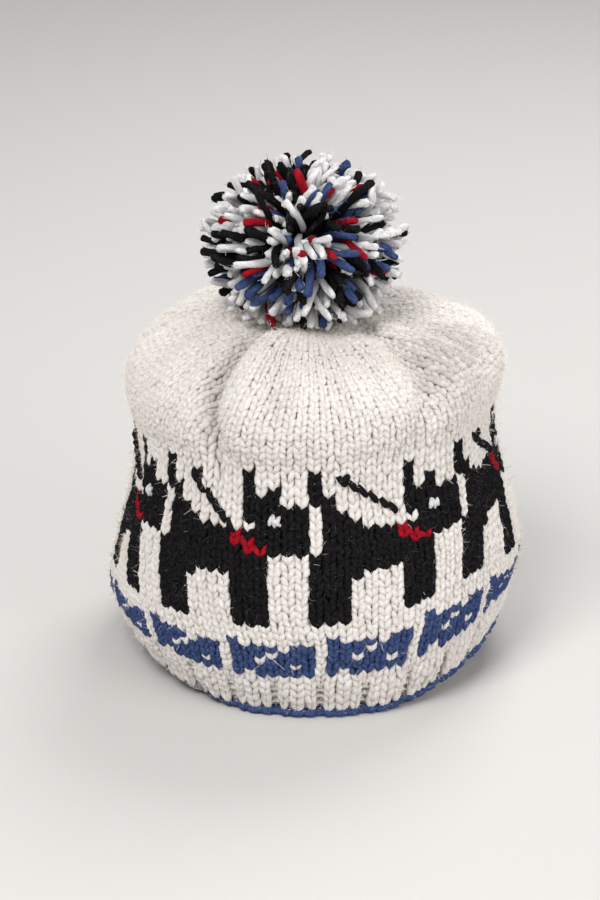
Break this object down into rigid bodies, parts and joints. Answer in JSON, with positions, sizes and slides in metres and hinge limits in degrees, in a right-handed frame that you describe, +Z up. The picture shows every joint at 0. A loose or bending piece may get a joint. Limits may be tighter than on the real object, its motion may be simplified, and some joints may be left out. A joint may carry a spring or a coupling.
{
  "type": "knitted tea cosy with pompom",
  "caption": "Hand-knitted wool tea cosy with a row of black terriers, blue blocks, a ribbed hem, slits for spout and handle, and a shaggy pompom.",
  "frame": {"origin": "middle of the hem's outline, on the surface that the cosy stands on", "axes": "+Z up, -Y the front that shows the middle terrier, +X the handle slit and -X the spout slit"},
  "size_m": [0.1726, 0.1735, 0.2111],
  "materials": {
    "cream_wool": "matte",
    "pompom_wool": "matte"
  },
  "bodies": {
    "root": {"cosy": "cream_wool", "pompom": "pompom_wool"}
  },
  "joints": []
}
